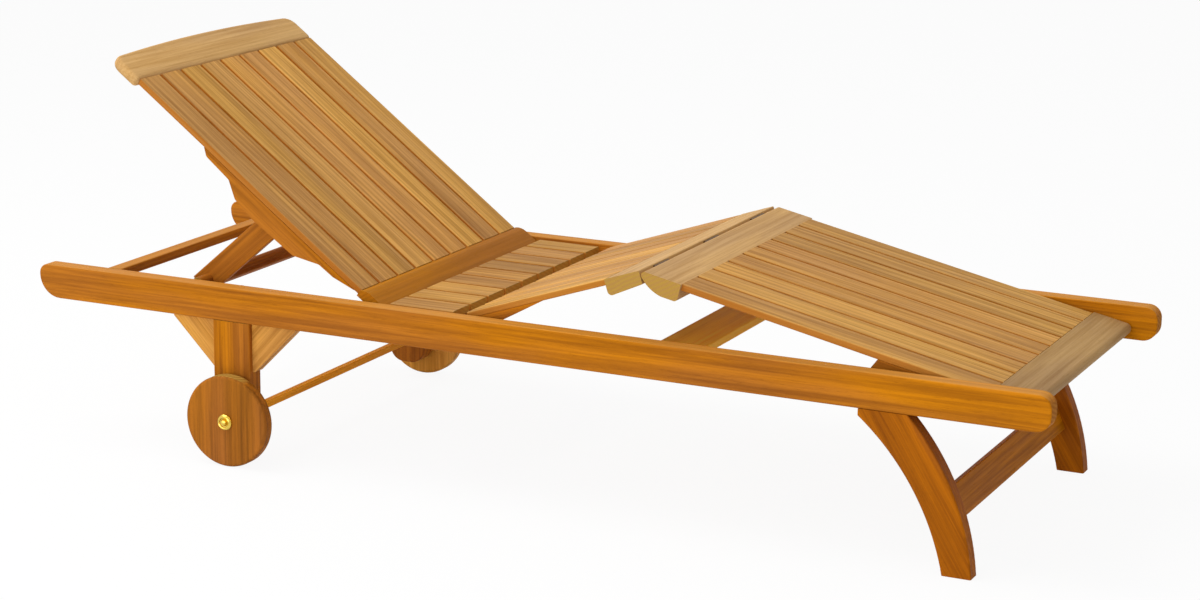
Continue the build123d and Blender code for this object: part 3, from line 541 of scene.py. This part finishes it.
class CHAISE_OT_top_rail(bpy.types.Operator):
    """Model the back's top rail with its bowed edge and soft rounding all round"""
    bl_idname = "chaise.top_rail"
    bl_label = "Top rail"

    def execute(self, context):
        finish = context.scene.chaise_finish
        sizes = context.scene.chaise_sizes
        low, high = TOP_RAIL_SEAM - TOP_RAIL_WIDTH, TOP_RAIL_SEAM
        half = TOP_RAIL_HALF
        # The flat outline, bowed at the head and with round corners there.
        shape = bmesh.new()
        bmesh.ops.create_grid(shape, x_segments=1, y_segments=24, size=1)
        bmesh.ops.scale(shape, vec=((high - low) / 2, half, 1), verts=shape.verts)
        bmesh.ops.translate(shape, vec=((high + low) / 2, 0, TOP_RAIL_FACE), verts=shape.verts)
        for vert in shape.verts:
            if vert.co.x < (low + high) / 2:
                vert.co.x -= TOP_RAIL_BOW * (1 - (vert.co.y / half) ** 2)
        corners = [vert for vert in shape.verts
                   if abs(abs(vert.co.y) - half) < 1e-6 and vert.co.x < low + 1e-6]
        bmesh.ops.bevel(shape, geom=corners, offset=TOP_RAIL_CORNER, offset_type="OFFSET", segments=6,
                        profile=0.5, affect="VERTICES", material=-1)
        bmesh.ops.dissolve_limit(shape, angle_limit=math.radians(0.2), verts=shape.verts, edges=shape.edges)
        # Its thickness, and the soft rounding of both rims.
        grown = bmesh.ops.extrude_face_region(shape, geom=shape.faces[:])["geom"]
        moved = [item for item in grown if isinstance(item, bmesh.types.BMVert)]
        bmesh.ops.translate(shape, vec=(0, 0, -TOP_RAIL_THICKNESS), verts=moved)
        bmesh.ops.recalc_face_normals(shape, faces=shape.faces)
        rim = [edge for edge in shape.edges
               if edge.is_manifold and edge.calc_face_angle(0) > math.radians(60)]
        bmesh.ops.bevel(shape, geom=rim, offset=sizes.soft_edge, offset_type="OFFSET", profile=0.5,
                        segments=sizes.soft_segments, affect="EDGES", clamp_overlap=True, material=-1)
        hang(shape, "back")
        wood = teak("Teak top rail", 411, finish.board, finish.board_dark, ACROSS, figure=0.35, sawn=False)
        piece = keep("top_rail_softened", shape, "back", wood)
        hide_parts("back_top_rail")
        return {"FINISHED"}


class CHAISE_OT_wheels(bpy.types.Operator):
    """Finish the wooden wheels and the metal fittings, and model the wheels' brass caps"""
    bl_idname = "chaise.wheels"
    bl_label = "Wheels and fittings"

    def execute(self, context):
        finish = context.scene.chaise_finish
        sizes = context.scene.chaise_sizes
        # The left wheel gets the pale teak as painted light: a lighter copy in place of the light that its
        # shaded inner face doesn't get.
        woods = {"right": (finish.wheel, [c * 0.42 for c in finish.wheel]),
                 "left": (finish.pale, finish.pale_dark)}
        for seed, (side, wood) in enumerate(woods.items()):
            dress_teak(f"wheel_{side}", 501 + 6 * seed, *wood, UPRIGHT, 1.0, 0.9)
        brass = metal("Polished brass", finish.brass, 0.16, 0.00004)
        steel = metal("Brushed steel", finish.steel, 0.28, 0.00006)
        bronze = metal("Aged bronze", finish.bronze, 0.42, 0.00006)
        dress(["wheel_bush_right", "wheel_bush_left", "axle_washers", "cap_nuts"], brass)
        dress(["knee_hinge_leaves_thigh", "knee_hinge_leaves_calf", "knee_hinge_pins"], bronze)
        dress(["wheel_axle", "axle_spacers", "back_pivot_pins", "thigh_pivot_pins", "prop_pivot_pins"], steel)
        axle = Vector(JOINTS["wheel_right_spin"]["pos_m"])
        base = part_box("axle_washers")[1].y
        radius, lip = sizes.cap_radius, sizes.cap_height
        # Half the cap's outline, as radius and height: out along the base, over the lip, into its ring,
        # and up to the button in the middle.
        line = ((0.0065, 0.0), (radius, 0.0), (radius + 0.0003, lip * 0.35), (radius - 0.0012, lip * 0.8),
                (radius - 0.0032, lip), (radius - 0.0052, lip * 0.8), (radius - 0.0060, lip * 0.35),
                (0.0068, lip * 0.28), (0.0064, lip * 0.9), (0.0052, lip * 1.45), (0.0030, lip * 1.75),
                (0.0, lip * 1.85))
        for side, sign in (("right", -1), ("left", 1)):
            shape = bmesh.new()
            points = [shape.verts.new((r, h, 0)) for r, h in line]
            edges = [shape.edges.new(pair) for pair in zip(points, points[1:])]
            bmesh.ops.spin(shape, geom=points + edges, cent=(0, 0, 0), axis=(0, 1, 0), angle=math.tau,
                           steps=40, use_merge=True, use_duplicate=False)
            bmesh.ops.remove_doubles(shape, verts=shape.verts, dist=1e-6)
            bmesh.ops.holes_fill(shape, edges=[edge for edge in shape.edges if edge.is_boundary], sides=0)
            if sign < 0:
                bmesh.ops.scale(shape, vec=(1, -1, 1), verts=shape.verts)
            bmesh.ops.translate(shape, vec=(axle.x, sign * (base + CAP_GAP), axle.z), verts=shape.verts)
            cap = keep(f"wheel_cap_{side}", shape, "frame", brass)
            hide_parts("cap_nuts")
        return {"FINISHED"}


class CHAISE_OT_screws(bpy.types.Operator):
    """Model the brass screws that hold the slats to the battens from below"""
    bl_idname = "chaise.screws"
    bl_label = "Batten screws"

    def execute(self, context):
        finish = context.scene.chaise_finish
        sizes = context.scene.chaise_sizes
        brass = metal("Screw brass", finish.brass, 0.26, 0.00003)
        # Each batten's body, its middle along the panel and its underside.
        rows = {
            "back_lower_batten": ("back", -0.1665, -0.0245),
            "back_upper_batten": ("back", -0.518, -0.0245),
            "thigh_batten": ("thigh", 0.037, -0.007),
            "calf_batten": ("calf", 0.317, -0.0205),
            "calf_foot_batten": ("calf", 0.552, -0.0205)}
        for name, (body, along, under) in rows.items():
            low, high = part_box(name)
            shape = bmesh.new()
            for index in range(sizes.slat_count):
                y = (index - (sizes.slat_count - 1) / 2) * sizes.slat_pitch
                if not low.y + SCREW_MARGIN < y < high.y - SCREW_MARGIN:
                    continue
                head = bmesh.ops.create_cone(
                    shape, cap_ends=True, cap_tris=False, segments=16, radius1=sizes.screw_radius,
                    radius2=sizes.screw_radius * SCREW_TAPER, depth=sizes.screw_height)["verts"]
                bmesh.ops.rotate(shape, cent=(0, 0, 0), matrix=Matrix.Rotation(math.pi, 3, "X"), verts=head)
                bmesh.ops.translate(shape, vec=(along, y, under - sizes.screw_height / 2), verts=head)
            hang(shape, body)
            keep(f"screws_{name}", shape, body, brass, shade=False)
        return {"FINISHED"}


class CHAISE_OT_studio(bpy.types.Operator):
    """Set the pale floor, the soft lights and the camera"""
    bl_idname = "chaise.studio"
    bl_label = "Studio"

    def execute(self, context):
        studio = context.scene.chaise_studio
        scene = context.scene
        ground = bmesh.new()
        bmesh.ops.create_grid(ground, x_segments=1, y_segments=1, size=FLOOR_HALF)
        mesh = bpy.data.meshes.new("studio_floor")
        ground.to_mesh(mesh)
        ground.free()
        pale = bpy.data.materials.new("Pale floor")
        tree = tree_of(pale)
        shade = add_node(tree, "ShaderNodeBsdfDiffuse", {"Color": rgba(studio.floor)})
        white = add_node(tree, "ShaderNodeEmission", {"Color": (1, 1, 1, 1), "Strength": 1.0})
        mixed = add_node(tree, "ShaderNodeMixShader", {
            0: times(tree, backdrop_seen(tree), FLOOR_WHITE), 1: shade.outputs[0], 2: white.outputs[0]})
        add_node(tree, "ShaderNodeOutputMaterial", {"Surface": mixed.outputs[0]})
        mesh.materials.append(pale)
        floor = bpy.data.objects.new("studio_floor", mesh)
        scene.collection.objects.link(floor)
        floor.location.z = -FLOOR_DROP

        world = bpy.data.worlds.new("Studio")
        scene.world = world
        sky = tree_of(world)
        level = add_node(sky, "ShaderNodeMapRange", {
            "Value": backdrop_seen(sky), "To Min": studio.fill, "To Max": 1.0})
        glow = add_node(sky, "ShaderNodeBackground", {"Color": (1, 1, 1, 1), "Strength": level.outputs[0]})
        add_node(sky, "ShaderNodeOutputWorld", {"Surface": glow.outputs[0]})

        for name, (place, size) in LAMPS.items():
            lamp = bpy.data.lights.new(name, "AREA")
            lamp.size = size
            lamp.energy = getattr(studio, name.lower())
            holder = bpy.data.objects.new(name, lamp)
            scene.collection.objects.link(holder)
            holder.location = place
            holder.rotation_euler = (LAMP_AIM - Vector(place)).to_track_quat("-Z", "Y").to_euler()

        yaw, pitch, roll = studio.yaw, studio.pitch, studio.roll
        ahead = Vector((-math.sin(yaw) * math.cos(pitch), math.cos(yaw) * math.cos(pitch), -math.sin(pitch)))
        level_right = Vector((math.cos(yaw), math.sin(yaw), 0))
        level_up = level_right.cross(ahead)
        right = math.cos(roll) * level_right + math.sin(roll) * level_up
        upward = -math.sin(roll) * level_right + math.cos(roll) * level_up
        view = bpy.data.cameras.new("Camera")
        view.lens = studio.lens
        view.sensor_fit = "HORIZONTAL"
        view.sensor_width = 36.0
        view.clip_end = 200
        camera = bpy.data.objects.new("Camera", view)
        scene.collection.objects.link(camera)
        pose = Matrix((right, upward, -ahead)).transposed().to_4x4()
        pose.translation = Vector(studio.place)
        camera.matrix_world = pose
        scene.camera = camera
        scene.view_settings.view_transform = "Standard"
        return {"FINISHED"}


PIECES = (CHAISE_OT_rails, CHAISE_OT_supports, CHAISE_OT_slats, CHAISE_OT_panel_boards, CHAISE_OT_top_rail,
          CHAISE_OT_wheels, CHAISE_OT_screws, CHAISE_OT_studio)


class CHAISE_PT_panel(bpy.types.Panel):
    """Values and buttons for each group of pieces"""
    bl_idname = "CHAISE_PT_panel"
    bl_label = "Teak chaise lounger"
    bl_space_type = "VIEW_3D"
    bl_region_type = "UI"
    bl_category = "Chaise"

    def draw(self, context):
        for group in ("chaise_finish", "chaise_sizes", "chaise_studio"):
            values = getattr(context.scene, group)
            box = self.layout.box()
            for name in values.bl_rna.properties.keys():
                if name not in {"rna_type", "name"}:
                    box.prop(values, name)
        for piece in PIECES:
            self.layout.operator(piece.bl_idname)


CLASSES = (ChaiseFinish, ChaiseSizes, ChaiseStudio, *PIECES, CHAISE_PT_panel)


def register():
    for cls in CLASSES:
        bpy.utils.register_class(cls)
    bpy.types.Scene.chaise_finish = PointerProperty(type=ChaiseFinish)
    bpy.types.Scene.chaise_sizes = PointerProperty(type=ChaiseSizes)
    bpy.types.Scene.chaise_studio = PointerProperty(type=ChaiseStudio)


def unregister():
    del bpy.types.Scene.chaise_studio
    del bpy.types.Scene.chaise_sizes
    del bpy.types.Scene.chaise_finish
    for cls in reversed(CLASSES):
        bpy.utils.unregister_class(cls)


def main():
    register()
    for piece in PIECES:
        section, name = piece.bl_idname.split(".")
        getattr(getattr(bpy.ops, section), name)()


if __name__ == "__main__":
    main()
